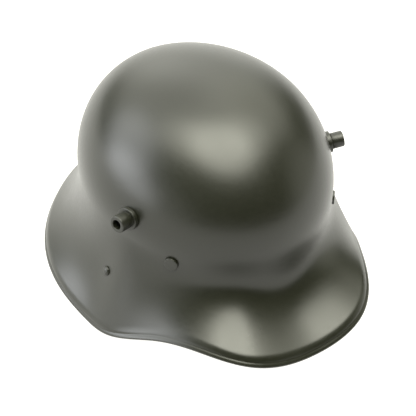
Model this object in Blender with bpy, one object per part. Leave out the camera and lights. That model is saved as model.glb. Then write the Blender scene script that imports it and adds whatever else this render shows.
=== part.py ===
"""A pressed steel combat helmet with a sloping visor, a stepped rim line and a flared neck skirt.

The pieces are the shell with its hemmed rim, two hollow vent lugs, two chin strap rivets and
three split liner pins. Metres, +Z up; the visor faces -Y and the wearer's right side is -X.
The origin is the centre of the shell's box, on the surface that the rim stands on.
"""
import math

import bmesh
import bpy
import numpy as np
from mathutils import Matrix, Vector
from mathutils.bvhtree import BVHTree

MM = 0.001

# Crown: an oval dome whose belt is the level where its wall stands upright
CROWN_FRONT = 110.2 * MM
CROWN_REAR = 113.8 * MM
CROWN_HALF_WIDTH = 94.7 * MM
CROWN_SQUARENESS = 1.95
CROWN_LEAN = 1.4 * MM
SHELL_HEIGHT = 168.7 * MM
BELT_HEIGHT = 84.3 * MM
DOME_FULLNESS = 2.10
DOME_FULLNESS_ENDS = 2.13
DOME_FULLNESS_SIDES = 2.21

# Rim: how far it stands out from the belt, and how high the visor's edge rides over the skirt's
RIM_REACH = 47.6 * MM
VISOR_RISE = 32.2 * MM
LIP_WIDTH = 9.0 * MM
LIP_CREASE = 3.6 * MM

# Sheet
WALL = 1.2 * MM
HEM_WIDTH = 6.0 * MM
HEM_SHOULDER = 1.2 * MM

# Each row is the section at one azimuth, from the visor's middle round to the neck's.
# reach is a share of RIM_REACH, rise a share of VISOR_RISE, slope the brim's fall above the lip.
# wall_hold and brim_hold say how far the wall and the brim run straight towards their bend.
SECTION_COLUMNS = ("azimuth_deg", "reach", "rise", "slope_deg", "lip_turn_deg", "wall_hold", "brim_hold")
SECTIONS = (
    (0, 1.00, 0.70, 22, 24, 0.80, 0.22),
    (18, 1.035, 0.92, 22, 24, 0.76, 0.20),
    (34, 0.775, 0.99, 29, 12, 0.60, 0.21),
    (46, 0.64, 0.77, 49, -6, 0.45, 0.31),
    (56, 0.64, 0.45, 60, -10, 0.38, 0.36),
    (66, 0.65, 0.14, 63, 4, 0.35, 0.36),
    (78, 0.61, 0.00, 57, 13, 0.35, 0.36),
    (95, 0.64, 0.02, 50, 17, 0.36, 0.37),
    (120, 0.69, 0.05, 47.5, 18, 0.38, 0.38),
    (150, 0.70, 0.05, 46, 20, 0.40, 0.39),
    (180, 0.78, 0.00, 46, 24, 0.41, 0.40),
)

# Mesh density
HALF_COLUMNS = 40
STEP_AZIMUTH = 56.0
STEP_SPREAD = 24.0
STEP_CROWDING = 1.2
DOME_ROWS = 11
BEND_ROWS = 9
LIP_ROWS = 3
EDGE_ROWS = 4

# Fit between pieces
SEAT_GAP = 0.3 * MM
HOLE_CLEARANCE = 0.3 * MM

# Vent lug: a hollow stepped stud, its tail spread over a flange inside the shell
LUG_AZIMUTH = math.radians(65.5)
LUG_HEIGHT = 101.0 * MM
LUG_LENGTH = 13.0 * MM
LUG_RADIUS = 6.3 * MM
LUG_BORE_RADIUS = 3.6 * MM
LUG_COLLAR_RADIUS = 8.5 * MM
LUG_COLLAR_HEIGHT = 3.0 * MM
LUG_SHANK_RADIUS = 5.2 * MM
LUG_FLANGE_RADIUS = 7.8 * MM
LUG_FLANGE_HEIGHT = 1.3 * MM
LUG_EDGE = 0.8 * MM
LUG_SIDES = 24

# Chin strap rivet: a round head outside and a flat set tail inside
STRAP_RIVET_AZIMUTH = math.radians(75.0)
STRAP_RIVET_HEIGHT = 43.0 * MM
STRAP_HEAD_RADIUS = 3.7 * MM
STRAP_HEAD_HEIGHT = 2.3 * MM
STRAP_SHANK_RADIUS = 2.0 * MM
STRAP_TAIL_RADIUS = 3.9 * MM
STRAP_TAIL_HEIGHT = 1.4 * MM
STRAP_SIDES = 16
STRAP_DOME_ROWS = 4

# Liner pin: a flat button head outside, and two legs bent along the wall inside
FRONT_PIN_AZIMUTH = math.radians(44.5)
FRONT_PIN_HEIGHT = 76.5 * MM
REAR_PIN_HEIGHT = 76.5 * MM
PIN_HEAD_RADIUS = 5.3 * MM
PIN_HEAD_HEIGHT = 1.8 * MM
PIN_HEAD_EDGE = 0.5 * MM
PIN_SHANK_RADIUS = 2.1 * MM
PIN_LEG_LENGTH = 15.0 * MM
PIN_LEG_WIDTH = 5.0 * MM
PIN_LEG_THICKNESS = 1.0 * MM
PIN_SIDES = 20
# Stations along both legs: place as a share of the leg's length, thickness of PIN_LEG_THICKNESS
PIN_LEG_COLUMNS = ("place", "thickness")
PIN_LEG_STATIONS = (
    (-1.0, 0.6),
    (-0.85, 1.0),
    (-0.5, 1.0),
    (-0.25, 1.25),
    (-0.12, 1.5),
    (0.0, 0.9),
    (0.12, 1.5),
    (0.25, 1.25),
    (0.5, 1.0),
    (0.85, 1.0),
    (1.0, 0.6),
)

PROBE = 30.0 * MM
STEP = 1e-4

PAINT = (0.085, 0.092, 0.066, 1.0)
BARE_STEEL = (0.30, 0.30, 0.29, 1.0)


def clear_scene():
    for obj in list(bpy.data.objects):
        bpy.data.objects.remove(obj)


def paint_material(name, colour, roughness, metallic):
    material = bpy.data.materials.new(name)
    material.use_nodes = True
    shader = material.node_tree.nodes["Principled BSDF"]
    shader.inputs["Base Color"].default_value = colour
    shader.inputs["Roughness"].default_value = roughness
    shader.inputs["Metallic"].default_value = metallic
    return material


def column(name):
    place = SECTION_COLUMNS.index(name)
    return np.array([row[place] for row in SECTIONS], float)


def knot_slopes(knots, values):
    """Slopes that make a cubic through the knots smooth to its second derivative, level at both ends."""
    gaps = np.diff(knots)
    rates = np.diff(values) / gaps
    matrix = np.eye(len(knots))
    right = np.zeros(len(knots))
    for i in range(1, len(knots) - 1):
        matrix[i, i - 1:i + 2] = gaps[i], 2 * (gaps[i - 1] + gaps[i]), gaps[i - 1]
        right[i] = 3 * (gaps[i] * rates[i - 1] + gaps[i - 1] * rates[i])
    return np.linalg.solve(matrix, right)


def smooth_through(knots, values, places):
    gaps = np.diff(knots)
    slopes = knot_slopes(knots, values)
    i = np.clip(np.searchsorted(knots, places) - 1, 0, len(gaps) - 1)
    t = (places - knots[i]) / gaps[i]
    start = (1 + 2 * t) * (1 - t) ** 2 * values[i] + t * (1 - t) ** 2 * gaps[i] * slopes[i]
    end = t * t * (3 - 2 * t) * values[i + 1] + t * t * (t - 1) * gaps[i] * slopes[i + 1]
    return start + end


def section(name, azimuth):
    """A column of SECTIONS at any azimuth in radians, the same on both sides."""
    turned = np.degrees(np.arccos(np.clip(np.cos(azimuth), -1, 1)))
    return smooth_through(column("azimuth_deg"), column(name), turned)


def crown_radius(azimuth):
    """Distance from the crown's axis to its outside at the belt."""
    length = np.where(np.cos(azimuth) > 0, CROWN_FRONT, CROWN_REAR)
    along = np.abs(np.cos(azimuth) / length) ** CROWN_SQUARENESS
    across = np.abs(np.sin(azimuth) / CROWN_HALF_WIDTH) ** CROWN_SQUARENESS
    return (along + across) ** (-1 / CROWN_SQUARENESS)


def dome(azimuth, rise):
    """Radius and height on the dome; rise runs from 0 at the belt to 1 at the top."""
    fullness = DOME_FULLNESS_ENDS + (DOME_FULLNESS_SIDES - DOME_FULLNESS_ENDS) * np.sin(azimuth) ** 2
    angle = rise * math.pi / 2
    radius = crown_radius(azimuth) * np.clip(np.cos(angle), 0, 1) ** (2 / fullness)
    return radius, BELT_HEIGHT + (SHELL_HEIGHT - BELT_HEIGHT) * np.sin(angle) ** (2 / DOME_FULLNESS)


def lip_run(azimuth, width):
    """How far out and down the lip has gone after a width; it turns within LIP_CREASE, then runs straight."""
    start = np.radians(section("slope_deg", azimuth))
    turn = np.radians(section("lip_turn_deg", azimuth))
    bent = np.minimum(width, LIP_CREASE)
    straight = width - bent
    chord = start + turn * bent / LIP_CREASE / 2
    out = bent * np.cos(chord) + straight * np.cos(start + turn)
    return out, bent * np.sin(chord) + straight * np.sin(start + turn)


def brim_end(azimuth):
    """Radius and height where the brim ends and the lip begins, so that the hem's edge is the rim."""
    out, down = lip_run(azimuth, LIP_WIDTH + WALL)
    radius = crown_radius(azimuth) + RIM_REACH * section("reach", azimuth) - out
    return radius, VISOR_RISE * section("rise", azimuth) + down


def bend(azimuth, t):
    """The wall's sweep into the brim: a quartic whose ends run straight, along the wall and brim."""
    wall_r = crown_radius(azimuth)
    brim_r, brim_z = brim_end(azimuth)
    corner_z = brim_z + (brim_r - wall_r) * np.tan(np.radians(section("slope_deg", azimuth)))
    wall_hold = section("wall_hold", azimuth)
    brim_hold = section("brim_hold", azimuth)
    radii = (wall_r, wall_r, wall_r, brim_r + (wall_r - brim_r) * brim_hold, brim_r)
    heights = (
        BELT_HEIGHT,
        BELT_HEIGHT + (corner_z - BELT_HEIGHT) * wall_hold,
        corner_z,
        brim_z + (corner_z - brim_z) * brim_hold,
        brim_z,
    )
    weights = [math.comb(4, i) * (1 - t) ** (4 - i) * t ** i for i in range(5)]
    radius = sum(w * r for w, r in zip(weights, radii))
    return radius, sum(w * z for w, z in zip(weights, heights))


def lip(azimuth, t):
    """The edge beyond the brim, turned down along most of the rim and a little up before the ears."""
    brim_r, brim_z = brim_end(azimuth)
    out, down = lip_run(azimuth, LIP_WIDTH * t)
    return brim_r + out, brim_z - down


def outside(azimuth, level):
    """Points of the outer surface; level is 0 at the top, 1 at the belt, 2 at the lip, 3 at the rim."""
    azimuth, level = np.broadcast_arrays(np.asarray(azimuth, float), np.asarray(level, float))
    parts = (
        dome(azimuth, 1 - np.clip(level, 0, 1)),
        bend(azimuth, np.clip(level - 1, 0, 1)),
        lip(azimuth, level - 2),
    )
    which = (level > 1).astype(int) + (level > 2)
    radius = np.choose(which, [part[0] for part in parts])
    height = np.choose(which, [part[1] for part in parts])
    lean = CROWN_LEAN * np.clip((height - BELT_HEIGHT) / (SHELL_HEIGHT - BELT_HEIGHT), 0, 1) ** 2
    return np.stack([radius * np.sin(azimuth), lean - radius * np.cos(azimuth), height], -1)


def outward(azimuth, level):
    """Unit normals of the outer surface, and unit tangents that run down it."""
    down = outside(azimuth, level + STEP) - outside(azimuth, level - STEP)
    around = outside(azimuth + STEP, level) - outside(azimuth - STEP, level)
    normal = np.cross(down, around)
    normal /= np.linalg.norm(normal, axis=-1, keepdims=True)
    return normal, down / np.linalg.norm(down, axis=-1, keepdims=True)


def shell_azimuths():
    """Columns all the way round, crowded where the rim steps down."""
    fine = np.linspace(0, 180, 721)
    crowd = 1 + STEP_CROWDING * np.exp(-(((fine - STEP_AZIMUTH) / STEP_SPREAD) ** 2))
    count = np.concatenate([[0], np.cumsum((crowd[1:] + crowd[:-1]) / 2)])
    half = np.interp(np.linspace(0, count[-1], HALF_COLUMNS + 1), count, fine)
    return np.radians(np.concatenate([half, 360 - half[-2:0:-1]]))


def shell_rows(azimuths):
    """Rings of points down the outside, round the hem and up the inside."""
    hem = 3 - HEM_WIDTH / LIP_WIDTH
    shoulder = hem - HEM_SHOULDER / LIP_WIDTH
    dome_levels = np.linspace(0, 1, DOME_ROWS + 1)[1:]
    bend_levels = np.linspace(1, 2, BEND_ROWS + 1)[1:]
    lip_levels = np.linspace(hem, 3, LIP_ROWS)
    skin = np.concatenate([dome_levels, bend_levels, lip_levels])
    fold = 2 * WALL
    rows = [outside(azimuths, level) for level in skin]
    normal, down = outward(azimuths, 3 - STEP)
    centre = rows[-1] - normal * fold / 2
    for angle in np.linspace(0, math.pi, EDGE_ROWS + 1)[1:-1]:
        rows.append(centre + (normal * math.cos(angle) + down * math.sin(angle)) * fold / 2)
    for level in lip_levels[::-1]:
        under = min(level, 3 - STEP)
        rows.append(outside(azimuths, level) - outward(azimuths, under)[0] * fold)
    for level in [shoulder, *bend_levels[::-1], *dome_levels[::-1]]:
        rows.append(outside(azimuths, level) - outward(azimuths, level)[0] * WALL)
    return rows


def closed_rings(rows, top, bottom):
    """Vertices and faces of rings joined in turn, with a point closing each end."""
    count = len(rows[0])
    points = [tuple(point) for row in rows for point in row]
    faces = []
    for i in range(len(rows) - 1):
        for j in range(count):
            k = (j + 1) % count
            faces.append((i * count + j, (i + 1) * count + j, (i + 1) * count + k, i * count + k))
    first, last = len(points), len(points) + 1
    points += [tuple(top), tuple(bottom)]
    end = (len(rows) - 1) * count
    for j in range(count):
        k = (j + 1) % count
        faces.append((first, j, k))
        faces.append((last, end + k, end + j))
    return points, faces


def mesh_object(name, points, faces, material, parent):
    mesh = bpy.data.meshes.new(name)
    mesh.from_pydata(points, [], faces)
    mesh.materials.append(material)
    shape = bmesh.new()
    shape.from_mesh(mesh)
    bmesh.ops.recalc_face_normals(shape, faces=shape.faces)
    shape.to_mesh(mesh)
    shape.free()
    mesh.shade_smooth()
    mesh.set_sharp_from_angle(angle=math.radians(35))
    obj = bpy.data.objects.new(name, mesh)
    obj.parent = parent
    bpy.context.scene.collection.objects.link(obj)
    return obj


def make_shell(material, parent):
    rows = shell_rows(shell_azimuths())
    crown = Vector((0, CROWN_LEAN, SHELL_HEIGHT))
    points, faces = closed_rings(rows, crown, crown - Vector((0, 0, WALL)))
    shell = mesh_object("shell", points, faces, material, parent)
    return shell, BVHTree.FromPolygons(points, faces)


def seat(azimuth, height):
    """A frame on the shell's outside: its local Z leaves the shell squarely and its X is level."""
    levels = np.linspace(0, 3, 3001)
    level = np.interp(-height, -outside(azimuth, levels)[:, 2], levels)
    normal = Vector(outward(azimuth, level)[0])
    across = Vector((0, 0, 1)).cross(normal).normalized()
    turn = Matrix((across, normal.cross(across), normal)).transposed()
    return Matrix.Translation(Vector(outside(azimuth, level))) @ turn.to_4x4()


def surface_at(tree, place, x, y, inner):
    """Height in the seat's frame of the shell's outer or inner surface over a point of its base."""
    side = -1 if inner else 1
    start = place @ Vector((x, y, side * PROBE))
    toward = place.to_3x3() @ Vector((0, 0, -side))
    found = tree.ray_cast(start, toward, PROBE * 2)[0]
    return (place.inverted() @ found).z


def turned_rows(tree, place, profile, sides):
    """Rings of a turned piece. A profile row is radius, height and what the height is measured from:
    the seat's base, or the shell's outer or inner surface right there."""
    rows = []
    for radius, height, follows in profile:
        ring = []
        for j in range(sides):
            turn = 2 * math.pi * j / sides
            x, y = radius * math.cos(turn), radius * math.sin(turn)
            base = 0 if follows == "base" else surface_at(tree, place, x, y, follows == "inner")
            ring.append((x, y, base + height))
        rows.append(ring)
    return rows


def solid_turning(name, tree, place, profile, sides, material, parent):
    """A turned piece with material on its axis, closed by a point at each end."""
    rows = turned_rows(tree, place, profile, sides)
    ends = [sum((Vector(point) for point in row), Vector()) / sides for row in (rows[0], rows[-1])]
    points, faces = closed_rings(rows, *ends)
    obj = mesh_object(name, points, faces, material, parent)
    obj.matrix_local = place
    return obj


def bored_turning(name, tree, place, profile, sides, material, parent):
    """A turned piece with a hole right through, so that its profile is a closed loop."""
    rows = turned_rows(tree, place, profile, sides)
    points = [point for row in rows for point in row]
    faces = []
    for i in range(len(rows)):
        for j in range(sides):
            below, beside = (i + 1) % len(rows), (j + 1) % sides
            faces.append((i * sides + j, below * sides + j, below * sides + beside, i * sides + beside))
    obj = mesh_object(name, points, faces, material, parent)
    obj.matrix_local = place
    return obj


def make_lug(name, tree, place, material, parent):
    groove = LUG_RADIUS - 0.5 * LUG_EDGE
    profile = (
        (LUG_BORE_RADIUS, LUG_LENGTH - 0.4 * LUG_EDGE, "base"),
        (LUG_BORE_RADIUS + 0.4 * LUG_EDGE, LUG_LENGTH, "base"),
        (LUG_RADIUS - LUG_EDGE, LUG_LENGTH, "base"),
        (LUG_RADIUS - 0.3 * LUG_EDGE, LUG_LENGTH - 0.3 * LUG_EDGE, "base"),
        (LUG_RADIUS, LUG_LENGTH - LUG_EDGE, "base"),
        (LUG_RADIUS, LUG_COLLAR_HEIGHT + LUG_EDGE, "base"),
        (groove, LUG_COLLAR_HEIGHT + 0.5 * LUG_EDGE, "base"),
        (groove, LUG_COLLAR_HEIGHT, "base"),
        (LUG_COLLAR_RADIUS - 0.5 * LUG_EDGE, LUG_COLLAR_HEIGHT, "base"),
        (LUG_COLLAR_RADIUS, LUG_COLLAR_HEIGHT - 0.5 * LUG_EDGE, "base"),
        (LUG_COLLAR_RADIUS, SEAT_GAP, "outer"),
        (LUG_SHANK_RADIUS + HOLE_CLEARANCE, SEAT_GAP, "outer"),
        (LUG_SHANK_RADIUS, SEAT_GAP, "outer"),
        (LUG_SHANK_RADIUS, -SEAT_GAP, "inner"),
        (LUG_SHANK_RADIUS + HOLE_CLEARANCE, -SEAT_GAP, "inner"),
        (LUG_FLANGE_RADIUS, -SEAT_GAP, "inner"),
        (LUG_FLANGE_RADIUS - 0.5 * LUG_EDGE, -SEAT_GAP - LUG_FLANGE_HEIGHT, "inner"),
        (LUG_BORE_RADIUS, -SEAT_GAP - LUG_FLANGE_HEIGHT, "inner"),
    )
    return bored_turning(name, tree, place, profile, LUG_SIDES, material, parent)


def make_strap_rivet(name, tree, place, material, parent):
    profile = []
    for i in range(1, STRAP_DOME_ROWS + 1):
        turn = i / STRAP_DOME_ROWS * math.pi / 2
        profile.append((
            STRAP_HEAD_RADIUS * math.sin(turn),
            SEAT_GAP + (STRAP_HEAD_HEIGHT - SEAT_GAP) * math.cos(turn),
            "outer",
        ))
    profile += [
        (STRAP_SHANK_RADIUS, SEAT_GAP, "outer"),
        (STRAP_SHANK_RADIUS, -SEAT_GAP, "inner"),
        (STRAP_TAIL_RADIUS, -SEAT_GAP, "inner"),
        (STRAP_TAIL_RADIUS, -SEAT_GAP - 0.6 * STRAP_TAIL_HEIGHT, "inner"),
        (0.7 * STRAP_TAIL_RADIUS, -SEAT_GAP - STRAP_TAIL_HEIGHT, "inner"),
    ]
    return solid_turning(name, tree, place, profile, STRAP_SIDES, material, parent)


def make_pin_legs(name, tree, place, material, parent):
    """One strip that lies along the inside wall: both legs, with the notch between them."""
    rows = []
    for share, thickness in PIN_LEG_STATIONS:
        x = share * PIN_LEG_LENGTH
        ring = []
        for y in (-PIN_LEG_WIDTH / 2, PIN_LEG_WIDTH / 2):
            wall = surface_at(tree, place, x, y, True) - SEAT_GAP
            ring.append((x, y, wall))
            ring.append((x, y, wall - thickness * PIN_LEG_THICKNESS))
        rows.append([ring[0], ring[2], ring[3], ring[1]])
    ends = [sum((Vector(point) for point in row), Vector()) / 4 for row in (rows[0], rows[-1])]
    points, faces = closed_rings(rows, *ends)
    legs = mesh_object(name, points, faces, material, parent)
    legs.matrix_local = place
    legs.hide_render = True
    legs.display_type = "WIRE"
    return legs


def make_liner_pin(name, tree, place, material, parent):
    profile = (
        (PIN_HEAD_RADIUS - PIN_HEAD_EDGE, PIN_HEAD_HEIGHT, "outer"),
        (PIN_HEAD_RADIUS, PIN_HEAD_HEIGHT - PIN_HEAD_EDGE, "outer"),
        (PIN_HEAD_RADIUS, SEAT_GAP, "outer"),
        (PIN_SHANK_RADIUS, SEAT_GAP, "outer"),
        (PIN_SHANK_RADIUS, -SEAT_GAP - 0.5 * PIN_LEG_THICKNESS, "inner"),
    )
    pin = solid_turning(name, tree, place, profile, PIN_SIDES, material, parent)
    union = pin.modifiers.new("legs", "BOOLEAN")
    union.operation = "UNION"
    union.object = make_pin_legs(name + "_legs", tree, place, material, parent)
    return pin


def cut_holes(shell, holes, parent):
    """One Boolean that takes every shank's clearance hole out of the shell."""
    points, faces = [], []
    for place, radius, sides in holes:
        first = len(points)
        for height in (PROBE / 4, -PROBE / 4):
            for j in range(sides):
                turn = 2 * math.pi * j / sides
                at = Vector((radius * math.cos(turn), radius * math.sin(turn), height))
                points.append(tuple(place @ at))
        for j in range(sides):
            k = (j + 1) % sides
            faces.append((first + j, first + sides + j, first + sides + k, first + k))
        faces.append(tuple(range(first, first + sides)))
        faces.append(tuple(range(first + 2 * sides - 1, first + sides - 1, -1)))
    cutter = mesh_object("hole_cutters", points, faces, shell.data.materials[0], parent)
    cutter.hide_render = True
    cutter.display_type = "WIRE"
    cut = shell.modifiers.new("holes", "BOOLEAN")
    cut.operation = "DIFFERENCE"
    cut.object = cutter


def make_helmet():
    clear_scene()
    helmet = bpy.data.objects.new("helmet", None)
    bpy.context.scene.collection.objects.link(helmet)
    paint = paint_material("field_paint", PAINT, 0.38, 0.0)
    steel = paint_material("bare_steel", BARE_STEEL, 0.45, 1.0)
    shell, tree = make_shell(paint, helmet)
    holes = []
    for side, turn in (("right", -1), ("left", 1)):
        lug_seat = seat(turn * LUG_AZIMUTH, LUG_HEIGHT)
        make_lug("vent_lug_" + side, tree, lug_seat, paint, helmet)
        holes.append((lug_seat, LUG_SHANK_RADIUS + HOLE_CLEARANCE, LUG_SIDES))
        strap_seat = seat(turn * STRAP_RIVET_AZIMUTH, STRAP_RIVET_HEIGHT)
        make_strap_rivet("strap_rivet_" + side, tree, strap_seat, paint, helmet)
        holes.append((strap_seat, STRAP_SHANK_RADIUS + HOLE_CLEARANCE, STRAP_SIDES))
    for side, azimuth, height in (
        ("right", -FRONT_PIN_AZIMUTH, FRONT_PIN_HEIGHT),
        ("left", FRONT_PIN_AZIMUTH, FRONT_PIN_HEIGHT),
        ("rear", math.pi, REAR_PIN_HEIGHT),
    ):
        pin_seat = seat(azimuth, height)
        make_liner_pin("liner_pin_" + side, tree, pin_seat, paint, helmet)
        holes.append((pin_seat, PIN_SHANK_RADIUS + HOLE_CLEARANCE, PIN_SIDES))
    cut_holes(shell, holes, helmet)
    corners = np.array([vertex.co for vertex in shell.data.vertices])
    middle = (corners.min(0) + corners.max(0)) / 2
    helmet.location = (0, -middle[1], -corners[:, 2].min())


make_helmet()
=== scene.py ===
import math

import bmesh
import bpy
import numpy as np
from mathutils import Matrix, Vector
from mathutils.bvhtree import BVHTree


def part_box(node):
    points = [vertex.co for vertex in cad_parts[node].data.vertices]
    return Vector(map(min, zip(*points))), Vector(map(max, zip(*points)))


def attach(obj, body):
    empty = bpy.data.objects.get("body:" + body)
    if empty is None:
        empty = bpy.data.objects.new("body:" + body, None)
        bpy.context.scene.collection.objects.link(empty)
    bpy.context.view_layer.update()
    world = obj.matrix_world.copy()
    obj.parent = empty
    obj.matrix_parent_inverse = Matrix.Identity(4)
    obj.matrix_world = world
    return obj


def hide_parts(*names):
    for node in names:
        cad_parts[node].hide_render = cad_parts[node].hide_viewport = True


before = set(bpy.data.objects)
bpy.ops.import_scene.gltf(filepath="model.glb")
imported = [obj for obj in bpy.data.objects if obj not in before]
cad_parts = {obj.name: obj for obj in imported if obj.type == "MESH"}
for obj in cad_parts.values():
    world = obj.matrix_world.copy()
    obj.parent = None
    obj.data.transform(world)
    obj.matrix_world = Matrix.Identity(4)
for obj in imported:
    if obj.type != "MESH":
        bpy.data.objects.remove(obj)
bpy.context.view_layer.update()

# Sizes are in metres, and the same as in the CAD source
MM = 0.001

# Crown
CROWN_FRONT = 110.2 * MM
CROWN_REAR = 113.8 * MM
CROWN_HALF_WIDTH = 94.7 * MM
CROWN_SQUARENESS = 1.95
CROWN_LEAN = 1.4 * MM
SHELL_HEIGHT = 168.7 * MM
BELT_HEIGHT = 84.3 * MM
DOME_FULLNESS = 2.10
DOME_FULLNESS_ENDS = 2.13
DOME_FULLNESS_SIDES = 2.21

# Rim
RIM_REACH = 47.6 * MM
VISOR_RISE = 32.2 * MM
LIP_WIDTH = 9.0 * MM
LIP_CREASE = 3.6 * MM

# Sheet
WALL = 1.2 * MM
HEM_WIDTH = 6.0 * MM
HEM_SHOULDER = 1.2 * MM
BEAD_WIDTH = 1.5 * MM
BEAD_GROOVE_WIDTH = 1.1 * MM
BEAD_GROOVE_DEPTH = 0.3 * MM

# Sections round one half, from the visor's middle to the neck's
SECTION_COLUMNS = ("azimuth_deg", "reach", "rise", "slope_deg", "lip_turn_deg", "wall_hold", "brim_hold")
SECTIONS = (
    (0, 1.00, 0.70, 22, 24, 0.80, 0.22),
    (18, 1.035, 0.92, 22, 24, 0.76, 0.20),
    (34, 0.775, 0.99, 29, 12, 0.60, 0.21),
    (46, 0.64, 0.77, 49, -6, 0.45, 0.31),
    (56, 0.64, 0.45, 60, -10, 0.38, 0.36),
    (66, 0.65, 0.14, 63, 4, 0.35, 0.36),
    (78, 0.61, 0.00, 57, 13, 0.35, 0.36),
    (95, 0.64, 0.02, 50, 17, 0.36, 0.37),
    (120, 0.69, 0.05, 47.5, 18, 0.38, 0.38),
    (150, 0.70, 0.05, 46, 20, 0.40, 0.39),
    (180, 0.78, 0.00, 46, 24, 0.41, 0.40),
)

# How fine the finished shell's mesh is
COLUMNS = 288
DOME_ROWS = 40
BEND_ROWS = 44
LIP_ROWS = 30
EDGE_ROWS = 8
INSIDE_STRIDE = 2
TURN_ROWS = 3
CREASE_ANGLE = math.radians(40)

# How the folded edge rounds over onto the sheet
HEM_ROUNDING_COLUMNS = ("share_of_shoulder", "depth_in_walls")
HEM_ROUNDING = ((0.15, 1.94), (0.35, 1.75), (0.55, 1.45), (0.75, 1.12), (1.0, 1.0))

# How far the fittings stand off the sheet and its holes off their shanks
SEAT_GAP = 0.3 * MM
HOLE_CLEARANCE = 0.3 * MM

# Vent lug
LUG_AZIMUTH = math.radians(65.5)
LUG_HEIGHT = 101.0 * MM
LUG_LENGTH = 13.0 * MM
LUG_RADIUS = 6.3 * MM
LUG_BORE_RADIUS = 3.6 * MM
LUG_COLLAR_RADIUS = 8.5 * MM
LUG_COLLAR_HEIGHT = 3.0 * MM
LUG_SHANK_RADIUS = 5.2 * MM
LUG_FLANGE_RADIUS = 7.8 * MM
LUG_FLANGE_HEIGHT = 1.3 * MM
LUG_EDGE = 0.8 * MM

# Chin strap rivet
STRAP_RIVET_AZIMUTH = math.radians(75.0)
STRAP_RIVET_HEIGHT = 43.0 * MM
STRAP_HEAD_RADIUS = 3.7 * MM
STRAP_HEAD_HEIGHT = 2.3 * MM
STRAP_SHANK_RADIUS = 2.0 * MM
STRAP_TAIL_RADIUS = 3.9 * MM
STRAP_TAIL_HEIGHT = 1.4 * MM

# Liner pin
FRONT_PIN_AZIMUTH = math.radians(44.5)
PIN_HEIGHT = 76.5 * MM
PIN_HEAD_RADIUS = 5.3 * MM
PIN_HEAD_HEIGHT = 1.8 * MM
PIN_HEAD_EDGE = 0.5 * MM
PIN_SHANK_RADIUS = 2.1 * MM
PIN_LEG_LENGTH = 15.0 * MM
PIN_LEG_WIDTH = 5.0 * MM
PIN_LEG_THICKNESS = 1.0 * MM

# Section of a pin's leg: across in half widths, depth in thicknesses
LEG_SECTION = ((-1, 0.25), (-0.8, 0), (0.8, 0), (1, 0.25), (1, 0.75), (0.8, 1), (-0.8, 1), (-1, 0.75))

# Fineness of the fittings, reach of the rays that find the sheet, and a small step for slopes
SIDES = 48
MOUTH_ROWS = 4
HEAD_ROWS = 10
LEG_ROWS = 41
PROBE = 30.0 * MM
STEP = 1e-4
SEAT_LEVELS = 3001

# Paint
PAINT_DARK = (0.0098, 0.0105, 0.0060)
PAINT_LIGHT = (0.0118, 0.0125, 0.0078)
CLOUD_SCALE = 14.0
GRAIN_SCALE = 420.0
PEEL_SCALE = 260.0
DUST_SCALE = 1500.0
PEEL_DEPTH = 0.12 * MM
FINISH_COLUMNS = ("shade", "roughness", "peel")
SHELL_FINISH = (1.0, 0.31, 0.2)
FITTING_FINISH = (0.95, 0.4, 0.3)

# Studio: a glowing paper floor and soft patches of light on the sky, by where they stand
FLOOR_HALF_SIZE = 4.0
FLOOR_WHITE = 0.2
FLOOR_GLOW = 1.05
FLOOR_GLOW_COLOUR = (1.0, 0.99, 0.95)
TINTS = {"warm": (1.0, 1.0, 0.86), "plain": (1.0, 1.0, 0.93), "cool": (0.98, 1.0, 1.02)}
LIGHT_COLUMNS = ("name", "azimuth_deg", "elevation_deg", "inner_deg", "outer_deg", "strength", "tint")
LIGHTS = (
    ("overhead box", -4, 80, 14, 28, 10.0, "warm"),
    ("overhead box's left end", -112, 70, 4, 22, 4.0, "warm"),
    ("overhead box's right end", 76, 66, 2, 22, 4.2, "warm"),
    ("right ceiling", 112, 48, 8, 32, 2.6, "warm"),
    ("back ceiling", -172, 48, 12, 46, 2.2, "plain"),
    ("window", -128, 28, 10, 30, 4.0, "cool"),
    ("window's foot", -110, 2, 8, 32, 5.4, "cool"),
    ("back wall", 150, 12, 8, 38, 2.0, "plain"),
    ("right wall", 66, 10, 6, 30, 1.1, "warm"),
    ("left fill", -76, 6, 6, 28, 0.8, "plain"),
)

# Camera: where it looks, from where, and how it is held
CAMERA_AZIMUTH = math.radians(-33.14)
CAMERA_ELEVATION = math.radians(42.78)
CAMERA_ROLL = math.radians(2.47)
CAMERA_DISTANCE = 744.4 * MM
CAMERA_AIM_HEIGHT = 69.0 * MM
CAMERA_SLIDE_RIGHT = 4.2 * MM
CAMERA_SLIDE_UP = -21.6 * MM
CAMERA_LENS_MM = 81.8
CAMERA_SENSOR_MM = 36
CAMERA_NEAR = 0.05
CAMERA_FAR = 20


def column(name):
    place = SECTION_COLUMNS.index(name)
    return np.array([row[place] for row in SECTIONS], float)


def knot_slopes(knots, values):
    """Slopes that make a cubic through the knots smooth to its second derivative, level at both ends."""
    gaps = np.diff(knots)
    rates = np.diff(values) / gaps
    matrix = np.eye(len(knots))
    right = np.zeros(len(knots))
    for i in range(1, len(knots) - 1):
        matrix[i, i - 1:i + 2] = gaps[i], 2 * (gaps[i - 1] + gaps[i]), gaps[i - 1]
        right[i] = 3 * (gaps[i] * rates[i - 1] + gaps[i - 1] * rates[i])
    return np.linalg.solve(matrix, right)


def smooth_through(knots, values, places):
    gaps = np.diff(knots)
    slopes = knot_slopes(knots, values)
    i = np.clip(np.searchsorted(knots, places) - 1, 0, len(gaps) - 1)
    t = (places - knots[i]) / gaps[i]
    start = (1 + 2 * t) * (1 - t) ** 2 * values[i] + t * (1 - t) ** 2 * gaps[i] * slopes[i]
    end = t * t * (3 - 2 * t) * values[i + 1] + t * t * (t - 1) * gaps[i] * slopes[i + 1]
    return start + end


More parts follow.
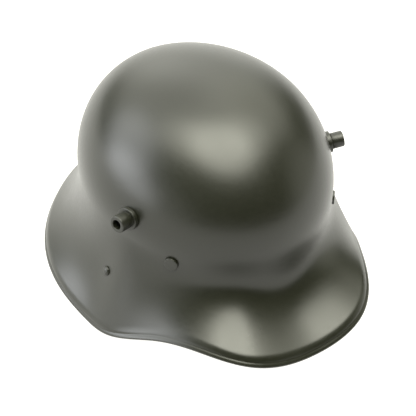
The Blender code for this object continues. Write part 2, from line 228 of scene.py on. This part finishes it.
def section(name, azimuth):
    """A column of SECTIONS at any azimuth in radians, the same on both sides."""
    turned = np.degrees(np.arccos(np.clip(np.cos(azimuth), -1, 1)))
    return smooth_through(column("azimuth_deg"), column(name), turned)


def crown_radius(azimuth):
    """Distance from the crown's axis to its outside at the belt."""
    length = np.where(np.cos(azimuth) > 0, CROWN_FRONT, CROWN_REAR)
    along = np.abs(np.cos(azimuth) / length) ** CROWN_SQUARENESS
    across = np.abs(np.sin(azimuth) / CROWN_HALF_WIDTH) ** CROWN_SQUARENESS
    return (along + across) ** (-1 / CROWN_SQUARENESS)


def dome(azimuth, rise):
    """Radius and height on the dome; rise runs from 0 at the belt to 1 at the top."""
    fullness = DOME_FULLNESS_ENDS + (DOME_FULLNESS_SIDES - DOME_FULLNESS_ENDS) * np.sin(azimuth) ** 2
    angle = rise * math.pi / 2
    radius = crown_radius(azimuth) * np.clip(np.cos(angle), 0, 1) ** (2 / fullness)
    return radius, BELT_HEIGHT + (SHELL_HEIGHT - BELT_HEIGHT) * np.sin(angle) ** (2 / DOME_FULLNESS)


def lip_run(azimuth, width):
    """How far out and down the lip has gone after a width; it turns within LIP_CREASE, then runs straight."""
    start = np.radians(section("slope_deg", azimuth))
    turn = np.radians(section("lip_turn_deg", azimuth))
    bent = np.minimum(width, LIP_CREASE)
    straight = width - bent
    chord = start + turn * bent / LIP_CREASE / 2
    out = bent * np.cos(chord) + straight * np.cos(start + turn)
    return out, bent * np.sin(chord) + straight * np.sin(start + turn)


def brim_end(azimuth):
    """Radius and height where the brim ends and the lip begins, so that the hem's edge is the rim."""
    out, down = lip_run(azimuth, LIP_WIDTH + WALL)
    radius = crown_radius(azimuth) + RIM_REACH * section("reach", azimuth) - out
    return radius, VISOR_RISE * section("rise", azimuth) + down


def bend(azimuth, t):
    """The wall's sweep into the brim: a quartic whose ends run straight, along the wall and brim."""
    wall_r = crown_radius(azimuth)
    brim_r, brim_z = brim_end(azimuth)
    corner_z = brim_z + (brim_r - wall_r) * np.tan(np.radians(section("slope_deg", azimuth)))
    wall_hold = section("wall_hold", azimuth)
    brim_hold = section("brim_hold", azimuth)
    radii = (wall_r, wall_r, wall_r, brim_r + (wall_r - brim_r) * brim_hold, brim_r)
    heights = (
        BELT_HEIGHT,
        BELT_HEIGHT + (corner_z - BELT_HEIGHT) * wall_hold,
        corner_z,
        brim_z + (corner_z - brim_z) * brim_hold,
        brim_z,
    )
    weights = [math.comb(4, i) * (1 - t) ** (4 - i) * t ** i for i in range(5)]
    radius = sum(w * r for w, r in zip(weights, radii))
    return radius, sum(w * z for w, z in zip(weights, heights))


def lip(azimuth, t):
    """The edge beyond the brim, turned down along most of the rim and a little up before the ears."""
    brim_r, brim_z = brim_end(azimuth)
    out, down = lip_run(azimuth, LIP_WIDTH * t)
    return brim_r + out, brim_z - down


def outside(azimuth, level):
    """Points of the outer surface; level is 0 at the top, 1 at the belt, 2 at the lip, 3 at the rim."""
    azimuth, level = np.broadcast_arrays(np.asarray(azimuth, float), np.asarray(level, float))
    parts = (
        dome(azimuth, 1 - np.clip(level, 0, 1)),
        bend(azimuth, np.clip(level - 1, 0, 1)),
        lip(azimuth, level - 2),
    )
    which = (level > 1).astype(int) + (level > 2)
    radius = np.choose(which, [part[0] for part in parts])
    height = np.choose(which, [part[1] for part in parts])
    lean = CROWN_LEAN * np.clip((height - BELT_HEIGHT) / (SHELL_HEIGHT - BELT_HEIGHT), 0, 1) ** 2
    return np.stack([radius * np.sin(azimuth), lean - radius * np.cos(azimuth), height], -1)


def outward(azimuth, level):
    """Unit normals of the outer surface, and unit tangents that run down it."""
    down = outside(azimuth, level + STEP) - outside(azimuth, level - STEP)
    around = outside(azimuth + STEP, level) - outside(azimuth - STEP, level)
    normal = np.cross(down, around)
    normal /= np.linalg.norm(normal, axis=-1, keepdims=True)
    return normal, down / np.linalg.norm(down, axis=-1, keepdims=True)


def bead_groove(level):
    """Depth of the shallow groove that sets the rolled edge off from the lip."""
    from_edge = (3 - level) * LIP_WIDTH
    return BEAD_GROOVE_DEPTH * math.exp(-((from_edge - BEAD_WIDTH - BEAD_GROOVE_WIDTH) / BEAD_GROOVE_WIDTH) ** 2)


def shell_rows():
    """Rings of points down the outside, round the rim, over the hem and up the inside."""
    azimuths = np.radians(np.arange(COLUMNS) * 360 / COLUMNS)
    hem = 3 - HEM_WIDTH / LIP_WIDTH
    shoulder = hem - HEM_SHOULDER / LIP_WIDTH
    dome_levels = np.linspace(0, 1, DOME_ROWS + 1)[1:]
    bend_levels = np.linspace(1, 2, BEND_ROWS + 1)[1:]
    lip_levels = np.linspace(hem, 3, LIP_ROWS)
    turn_levels = np.linspace(2, hem, TURN_ROWS + 2)[1:-1]
    rows = [outside(azimuths, level) for level in (*dome_levels, *bend_levels, *turn_levels)]
    for level in lip_levels:
        rows.append(outside(azimuths, level) - outward(azimuths, min(level, 3 - STEP))[0] * bead_groove(level))
    fold = 2 * WALL
    normal, down = outward(azimuths, 3 - STEP)
    centre = outside(azimuths, 3) - normal * fold / 2
    for angle in np.linspace(0, math.pi, EDGE_ROWS + 1)[1:-1]:
        rows.append(centre + (normal * math.cos(angle) + down * math.sin(angle)) * fold / 2)
    for level in lip_levels[::-1]:
        under = min(level, 3 - STEP)
        rows.append(outside(azimuths, level) - outward(azimuths, under)[0] * fold)
    for row in HEM_ROUNDING:
        step = dict(zip(HEM_ROUNDING_COLUMNS, row))
        level = hem + (shoulder - hem) * step["share_of_shoulder"]
        rows.append(outside(azimuths, level) - outward(azimuths, level)[0] * WALL * step["depth_in_walls"])
    inside_levels = [*bend_levels[::-INSIDE_STRIDE][1:], *dome_levels[::-INSIDE_STRIDE]]
    for level in inside_levels:
        rows.append(outside(azimuths, level) - outward(azimuths, level)[0] * WALL)
    return rows


def closed_rings(rows, top, bottom):
    """Vertices and faces of rings joined in turn, with a point closing each end."""
    count = len(rows[0])
    points = [tuple(point) for row in rows for point in row]
    faces = []
    for i in range(len(rows) - 1):
        for j in range(count):
            k = (j + 1) % count
            faces.append((i * count + j, (i + 1) * count + j, (i + 1) * count + k, i * count + k))
    first, last = len(points), len(points) + 1
    points += [tuple(top), tuple(bottom)]
    end = (len(rows) - 1) * count
    for j in range(count):
        k = (j + 1) % count
        faces.append((first, j, k))
        faces.append((last, end + k, end + j))
    return points, faces


def mesh_object(name, points, faces, material):
    mesh = bpy.data.meshes.new(name)
    mesh.from_pydata([tuple(point) for point in points], [], faces)
    mesh.materials.append(material)
    shape = bmesh.new()
    shape.from_mesh(mesh)
    bmesh.ops.recalc_face_normals(shape, faces=shape.faces)
    shape.to_mesh(mesh)
    shape.free()
    mesh.shade_smooth()
    mesh.set_sharp_from_angle(angle=CREASE_ANGLE)
    obj = bpy.data.objects.new(name, mesh)
    bpy.context.scene.collection.objects.link(obj)
    return obj


def seat(azimuth, height):
    """A frame on the shell's outside: its local Z leaves the shell squarely and its X is level."""
    levels = np.linspace(0, 3, SEAT_LEVELS)
    level = np.interp(-height, -outside(azimuth, levels)[:, 2], levels)
    normal = Vector(outward(azimuth, level)[0])
    across = Vector((0, 0, 1)).cross(normal).normalized()
    turn = Matrix((across, normal.cross(across), normal)).transposed()
    return Matrix.Translation(Vector(outside(azimuth, level))) @ turn.to_4x4()


def surface_at(tree, place, x, y, inner):
    """Height in the seat's frame of the shell's outer or inner surface over a point of its base."""
    side = -1 if inner else 1
    start = place @ Vector((x, y, side * PROBE))
    heading = place.to_3x3() @ Vector((0, 0, -side))
    found = tree.ray_cast(start, heading, PROBE * 2)[0]
    return (place.inverted() @ found).z


def turned_rows(tree, place, profile):
    """Rings of a turned piece; a profile row is radius, height and what the height is measured from."""
    rows = []
    for radius, height, follows in profile:
        ring = []
        for j in range(SIDES):
            turn = 2 * math.pi * j / SIDES
            x, y = radius * math.cos(turn), radius * math.sin(turn)
            base = 0 if follows == "base" else surface_at(tree, place, x, y, follows == "inner")
            ring.append((x, y, base + height))
        rows.append(ring)
    return rows


def turned_piece(name, tree, place, profile, bored, material):
    """A turned piece, closed on its axis or, with a bore right through, into a ring."""
    rows = turned_rows(tree, place, profile)
    if bored:
        points = [point for row in rows for point in row]
        faces = []
        for i in range(len(rows)):
            for j in range(SIDES):
                below, beside = (i + 1) % len(rows), (j + 1) % SIDES
                faces.append((i * SIDES + j, below * SIDES + j, below * SIDES + beside, i * SIDES + beside))
    else:
        ends = [sum((Vector(point) for point in row), Vector()) / SIDES for row in (rows[0], rows[-1])]
        points, faces = closed_rings(rows, *ends)
    obj = mesh_object(name, points, faces, material)
    obj.data.transform(place)
    return obj


def rounded(radius, height, size, rows, follows):
    """Profile rows of a quarter round of a size, over the outer edge at radius and height."""
    out = []
    for i in range(rows + 1):
        turn = i / rows * math.pi / 2
        out.append((
            radius - size * (1 - math.sin(turn)),
            height - size * (1 - math.cos(turn)),
            follows,
        ))
    return out


def make_lug(name, tree, place, material):
    groove = LUG_RADIUS - 0.5 * LUG_EDGE
    mouth = 0.5 * LUG_EDGE
    profile = [(LUG_BORE_RADIUS, LUG_LENGTH - 4 * LUG_EDGE, "base")]
    for i in range(MOUTH_ROWS + 1):
        turn = i / MOUTH_ROWS * math.pi / 2
        profile.append((
            LUG_BORE_RADIUS + mouth * (1 - math.cos(turn)),
            LUG_LENGTH - mouth * (1 - math.sin(turn)),
            "base",
        ))
    profile += rounded(LUG_RADIUS, LUG_LENGTH, LUG_EDGE, 5, "base")
    profile += [
        (LUG_RADIUS, 0.5 * (LUG_LENGTH + LUG_COLLAR_HEIGHT), "base"),
        (LUG_RADIUS, LUG_COLLAR_HEIGHT + 1.2 * LUG_EDGE, "base"),
        (LUG_RADIUS - 0.1 * LUG_EDGE, LUG_COLLAR_HEIGHT + LUG_EDGE, "base"),
        (groove, LUG_COLLAR_HEIGHT + 0.7 * LUG_EDGE, "base"),
        (groove, LUG_COLLAR_HEIGHT + 0.1 * LUG_EDGE, "base"),
        (groove + 0.1 * LUG_EDGE, LUG_COLLAR_HEIGHT, "base"),
    ]
    profile += rounded(LUG_COLLAR_RADIUS, LUG_COLLAR_HEIGHT, 0.6 * LUG_EDGE, 4, "base")
    profile += [
        (LUG_COLLAR_RADIUS, SEAT_GAP + 0.2 * LUG_EDGE, "outer"),
        (LUG_COLLAR_RADIUS - 0.2 * LUG_EDGE, SEAT_GAP, "outer"),
        (LUG_SHANK_RADIUS + HOLE_CLEARANCE, SEAT_GAP, "outer"),
        (LUG_SHANK_RADIUS, SEAT_GAP, "outer"),
        (LUG_SHANK_RADIUS, -SEAT_GAP, "inner"),
        (LUG_SHANK_RADIUS + HOLE_CLEARANCE, -SEAT_GAP, "inner"),
        (LUG_FLANGE_RADIUS, -SEAT_GAP, "inner"),
        (LUG_FLANGE_RADIUS - 0.1 * LUG_EDGE, -SEAT_GAP - 0.5 * LUG_FLANGE_HEIGHT, "inner"),
        (LUG_FLANGE_RADIUS - 0.5 * LUG_EDGE, -SEAT_GAP - LUG_FLANGE_HEIGHT, "inner"),
        (LUG_BORE_RADIUS + 0.5 * LUG_EDGE, -SEAT_GAP - LUG_FLANGE_HEIGHT, "inner"),
        (LUG_BORE_RADIUS, -SEAT_GAP - 0.6 * LUG_FLANGE_HEIGHT, "inner"),
    ]
    return turned_piece(name, tree, place, profile, True, material)


def make_strap_rivet(name, tree, place, material):
    profile = []
    for i in range(1, HEAD_ROWS + 1):
        turn = i / HEAD_ROWS * math.pi / 2
        profile.append((
            STRAP_HEAD_RADIUS * math.sin(turn),
            SEAT_GAP + (STRAP_HEAD_HEIGHT - SEAT_GAP) * math.cos(turn),
            "outer",
        ))
    profile += [
        (STRAP_SHANK_RADIUS, SEAT_GAP, "outer"),
        (STRAP_SHANK_RADIUS, -SEAT_GAP, "inner"),
        (STRAP_TAIL_RADIUS, -SEAT_GAP, "inner"),
        (STRAP_TAIL_RADIUS, -SEAT_GAP - 0.5 * STRAP_TAIL_HEIGHT, "inner"),
        (0.93 * STRAP_TAIL_RADIUS, -SEAT_GAP - 0.8 * STRAP_TAIL_HEIGHT, "inner"),
        (0.7 * STRAP_TAIL_RADIUS, -SEAT_GAP - STRAP_TAIL_HEIGHT, "inner"),
    ]
    return turned_piece(name, tree, place, profile, False, material)


def leg_thickness(share):
    """Thickness of the split pin's strip, of PIN_LEG_THICKNESS: a notch, two swellings, thin ends."""
    swell = 0.55 * math.exp(-((abs(share) - 0.12) / 0.1) ** 2)
    notch = 0.55 * math.exp(-(share / 0.05) ** 2)
    taper = 0.4 * max(0.0, (abs(share) - 0.85) / 0.15) ** 2
    return 1 + swell - notch - taper


def make_pin_legs(tree, place, material):
    """One strip that lies along the inside wall, with rounded long edges."""
    rows = []
    for share in np.linspace(-1, 1, LEG_ROWS):
        x = share * PIN_LEG_LENGTH
        half = PIN_LEG_WIDTH / 2 * math.sqrt(max(0.2, 1 - max(0.0, (abs(share) - 0.85) / 0.15) ** 2))
        thick = leg_thickness(share) * PIN_LEG_THICKNESS
        ring = []
        for across, depth in LEG_SECTION:
            y = across * half
            ring.append((x, y, surface_at(tree, place, x, y, True) - SEAT_GAP - depth * thick))
        rows.append(ring)
    ends = [sum((Vector(point) for point in row), Vector()) / len(row) for row in (rows[0], rows[-1])]
    points, faces = closed_rings(rows, *ends)
    legs = mesh_object("legs", points, faces, material)
    legs.data.transform(place)
    return legs


def make_liner_pin(name, tree, place, material):
    profile = [(0.5 * PIN_HEAD_RADIUS, PIN_HEAD_HEIGHT, "outer")]
    profile += rounded(PIN_HEAD_RADIUS, PIN_HEAD_HEIGHT, PIN_HEAD_EDGE, 5, "outer")
    profile += [
        (PIN_HEAD_RADIUS, SEAT_GAP, "outer"),
        (PIN_SHANK_RADIUS, SEAT_GAP, "outer"),
        (PIN_SHANK_RADIUS, -SEAT_GAP - 0.5 * PIN_LEG_THICKNESS, "inner"),
    ]
    pin = turned_piece(name, tree, place, profile, False, material)
    legs = make_pin_legs(tree, place, material)
    union = pin.modifiers.new("legs", "BOOLEAN")
    union.operation = "UNION"
    union.object = legs
    settle(pin)
    bpy.data.objects.remove(legs)
    return pin


def settle(obj):
    """Applies the modifiers and shades the result smooth with crisp edges."""
    shown = bpy.context.evaluated_depsgraph_get()
    mesh = bpy.data.meshes.new_from_object(obj.evaluated_get(shown))
    obj.modifiers.clear()
    obj.data = mesh
    mesh.shade_smooth()
    mesh.set_sharp_from_angle(angle=CREASE_ANGLE)


def cut_holes(shell, holes):
    points, faces = [], []
    for place, radius in holes:
        first = len(points)
        for height in (PROBE / 4, -PROBE / 4):
            for j in range(SIDES):
                turn = 2 * math.pi * j / SIDES
                points.append(place @ Vector((radius * math.cos(turn), radius * math.sin(turn), height)))
        for j in range(SIDES):
            k = (j + 1) % SIDES
            faces.append((first + j, first + SIDES + j, first + SIDES + k, first + k))
        faces.append(tuple(range(first, first + SIDES)))
        faces.append(tuple(range(first + 2 * SIDES - 1, first + SIDES - 1, -1)))
    cutter = mesh_object("cutters", points, faces, shell.data.materials[0])
    cut = shell.modifiers.new("holes", "BOOLEAN")
    cut.operation = "DIFFERENCE"
    cut.object = cutter
    settle(shell)
    bpy.data.objects.remove(cutter)


def join_sockets(tree, source, output, target, name):
    tree.links.new(source.outputs[output], target.inputs[name])


def field_paint(name, shade, roughness, peel):
    """Satin field paint: a faint cloud in its colour and gloss over a fine sprayed texture."""
    material = bpy.data.materials.new(name)
    material.use_nodes = True
    tree = material.node_tree
    shader = tree.nodes["Principled BSDF"]
    where = tree.nodes.new("ShaderNodeTexCoord")

    def noise(scale, detail, rough):
        node = tree.nodes.new("ShaderNodeTexNoise")
        node.inputs["Scale"].default_value = scale
        node.inputs["Detail"].default_value = detail
        node.inputs["Roughness"].default_value = rough
        join_sockets(tree, where, "Object", node, "Vector")
        return node

    def spread(source, low, high):
        """The noise's middle range, spread from low to high."""
        node = tree.nodes.new("ShaderNodeMapRange")
        node.inputs["From Min"].default_value = 0.3
        node.inputs["From Max"].default_value = 0.7
        node.inputs["To Min"].default_value = low
        node.inputs["To Max"].default_value = high
        join_sockets(tree, source, "Fac", node, "Value")
        return node

    cloud = noise(CLOUD_SCALE, 3.0, 0.5)
    grain = noise(GRAIN_SCALE, 2.0, 0.6)
    peel_noise = noise(PEEL_SCALE, 2.0, 0.5)
    dust = noise(DUST_SCALE, 1.0, 0.5)

    colour = tree.nodes.new("ShaderNodeValToRGB")
    ends = colour.color_ramp.elements
    for end, position, paint_colour in zip(ends, (0.3, 0.7), (PAINT_DARK, PAINT_LIGHT)):
        end.position = position
        end.color = (*(shade * share for share in paint_colour), 1)
    join_sockets(tree, cloud, "Fac", colour, "Fac")
    speck = tree.nodes.new("ShaderNodeMix")
    speck.data_type = "RGBA"
    speck.blend_type = "MULTIPLY"
    speck.inputs["Factor"].default_value = 1.0
    tone = spread(grain, 0.93, 1.07)
    join_sockets(tree, colour, "Color", speck, "A")
    join_sockets(tree, tone, "Result", speck, "B")
    join_sockets(tree, speck, "Result", shader, "Base Color")

    gloss = spread(cloud, roughness - 0.02, roughness + 0.03)
    fine = spread(grain, -0.02, 0.02)
    total = tree.nodes.new("ShaderNodeMath")
    total.operation = "ADD"
    join_sockets(tree, gloss, "Result", total, 0)
    join_sockets(tree, fine, "Result", total, 1)
    join_sockets(tree, total, "Value", shader, "Roughness")

    heights = tree.nodes.new("ShaderNodeMath")
    heights.operation = "MULTIPLY_ADD"
    heights.inputs[1].default_value = 0.35
    join_sockets(tree, dust, "Fac", heights, 0)
    join_sockets(tree, peel_noise, "Fac", heights, 2)
    bump = tree.nodes.new("ShaderNodeBump")
    bump.inputs["Strength"].default_value = peel
    bump.inputs["Distance"].default_value = PEEL_DEPTH
    join_sockets(tree, heights, "Value", bump, "Height")
    join_sockets(tree, bump, "Normal", shader, "Normal")
    shader.inputs["Metallic"].default_value = 0.0
    shader.inputs["Specular IOR Level"].default_value = 0.5
    return material


def make_floor():
    points = [(x * FLOOR_HALF_SIZE, y * FLOOR_HALF_SIZE, 0) for x, y in ((-1, -1), (1, -1), (1, 1), (-1, 1))]
    material = bpy.data.materials.new("studio_paper")
    material.use_nodes = True
    shader = material.node_tree.nodes["Principled BSDF"]
    shader.inputs["Base Color"].default_value = (FLOOR_WHITE, FLOOR_WHITE, FLOOR_WHITE, 1)
    shader.inputs["Roughness"].default_value = 0.9
    shader.inputs["Specular IOR Level"].default_value = 0.1
    shader.inputs["Emission Color"].default_value = (*FLOOR_GLOW_COLOUR, 1)
    shader.inputs["Emission Strength"].default_value = FLOOR_GLOW
    floor = mesh_object("floor", points, [(0, 1, 2, 3)], material)


def soft_patch(tree, facing, inner_deg, outer_deg):
    """1 within the inner angle of a patch's middle, 0 beyond the outer one and smooth between them."""
    node = tree.nodes.new("ShaderNodeMapRange")
    node.interpolation_type = "SMOOTHSTEP"
    node.inputs["From Min"].default_value = math.cos(math.radians(outer_deg))
    node.inputs["From Max"].default_value = math.cos(math.radians(inner_deg))
    node.inputs["To Min"].default_value = 0.0
    node.inputs["To Max"].default_value = 1.0
    join_sockets(tree, facing, "Value", node, "Value")
    return node


def toward(azimuth_deg, elevation_deg):
    """A unit vector; azimuth 0 is -Y, the way the visor faces, and +90 is +X."""
    azimuth, elevation = math.radians(azimuth_deg), math.radians(elevation_deg)
    level = math.cos(elevation)
    return Vector((math.sin(azimuth) * level, -math.cos(azimuth) * level, math.sin(elevation)))


def studio_light():
    """A light tent: soft patches of light all round, with little where the camera stands."""
    world = bpy.data.worlds.new("light_tent")
    bpy.context.scene.world = world
    world.use_nodes = True
    tree = world.node_tree
    background = tree.nodes["Background"]
    where = tree.nodes.new("ShaderNodeTexCoord")
    total = None
    for row in LIGHTS:
        light = dict(zip(LIGHT_COLUMNS, row))
        facing = tree.nodes.new("ShaderNodeVectorMath")
        facing.operation = "DOT_PRODUCT"
        facing.inputs[1].default_value = toward(light["azimuth_deg"], light["elevation_deg"])
        join_sockets(tree, where, "Generated", facing, 0)
        patch = soft_patch(tree, facing, light["inner_deg"], light["outer_deg"])
        coloured = tree.nodes.new("ShaderNodeVectorMath")
        coloured.operation = "SCALE"
        coloured.inputs[0].default_value = [light["strength"] * share for share in TINTS[light["tint"]]]
        join_sockets(tree, patch, "Result", coloured, "Scale")
        if total is None:
            total = coloured
            continue
        joined = tree.nodes.new("ShaderNodeVectorMath")
        joined.operation = "ADD"
        join_sockets(tree, total, "Vector", joined, 0)
        join_sockets(tree, coloured, "Vector", joined, 1)
        total = joined
    join_sockets(tree, total, "Vector", background, "Color")
    background.inputs["Strength"].default_value = 1.0


def make_camera(shift):
    """The camera at the photo's angle; shift is the move that was made to the shell."""
    forward = -toward(math.degrees(CAMERA_AZIMUTH), math.degrees(CAMERA_ELEVATION))
    right = Vector((0, 0, 1)).cross(-forward).normalized()
    up = right.cross(forward)
    aim = Vector((0, 0, CAMERA_AIM_HEIGHT)) + right * CAMERA_SLIDE_RIGHT + up * CAMERA_SLIDE_UP + shift
    held_right = right * math.cos(CAMERA_ROLL) + up * math.sin(CAMERA_ROLL)
    held_up = up * math.cos(CAMERA_ROLL) - right * math.sin(CAMERA_ROLL)
    data = bpy.data.cameras.new("camera")
    data.sensor_width = CAMERA_SENSOR_MM
    data.lens = CAMERA_LENS_MM
    data.clip_start = CAMERA_NEAR
    data.clip_end = CAMERA_FAR
    camera = bpy.data.objects.new("camera", data)
    turn = Matrix((held_right, held_up, -forward)).transposed()
    camera.matrix_world = Matrix.Translation(aim - forward * CAMERA_DISTANCE) @ turn.to_4x4()
    bpy.context.scene.collection.objects.link(camera)
    bpy.context.scene.camera = camera


def shift_to_frame(rows):
    """The move that puts the shell's box where the CAD has it."""
    corners = np.concatenate(rows)
    middle = (corners[:, 1].min() + corners[:, 1].max()) / 2
    low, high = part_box("shell")
    return Vector((0, (low[1] + high[1]) / 2 - middle, low[2] - corners[:, 2].min()))


paint = field_paint("field_paint_shell", **dict(zip(FINISH_COLUMNS, SHELL_FINISH)))
fitting_paint = field_paint("field_paint_fittings", **dict(zip(FINISH_COLUMNS, FITTING_FINISH)))

rows = shell_rows()
shell_shift = shift_to_frame(rows)
crown_top = Vector((0, CROWN_LEAN, SHELL_HEIGHT))
shell_points, shell_faces = closed_rings(rows, crown_top, crown_top - Vector((0, 0, WALL)))
skin = BVHTree.FromPolygons(shell_points, shell_faces)
shell = mesh_object("pressed_shell", shell_points, shell_faces, paint)

pieces = [(shell, "shell")]
holes = []
for side, turn in (("right", -1), ("left", 1)):
    lug_seat = seat(turn * LUG_AZIMUTH, LUG_HEIGHT)
    pieces.append((make_lug("stud_" + side, skin, lug_seat, fitting_paint), "vent_lug_" + side))
    holes.append((lug_seat, LUG_SHANK_RADIUS + HOLE_CLEARANCE))
    strap_seat = seat(turn * STRAP_RIVET_AZIMUTH, STRAP_RIVET_HEIGHT)
    pieces.append((make_strap_rivet("rivet_" + side, skin, strap_seat, fitting_paint), "strap_rivet_" + side))
    holes.append((strap_seat, STRAP_SHANK_RADIUS + HOLE_CLEARANCE))
for side, azimuth in (("right", -FRONT_PIN_AZIMUTH), ("left", FRONT_PIN_AZIMUTH), ("rear", math.pi)):
    pin_seat = seat(azimuth, PIN_HEIGHT)
    pieces.append((make_liner_pin("split_pin_" + side, skin, pin_seat, fitting_paint), "liner_pin_" + side))
    holes.append((pin_seat, PIN_SHANK_RADIUS + HOLE_CLEARANCE))
cut_holes(shell, holes)

for piece, node in pieces:
    piece.data.transform(Matrix.Translation(shell_shift))
    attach(piece, "root")
    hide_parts(node)

make_floor()
studio_light()
make_camera(shell_shift)
bpy.context.scene.view_settings.view_transform = "Standard"
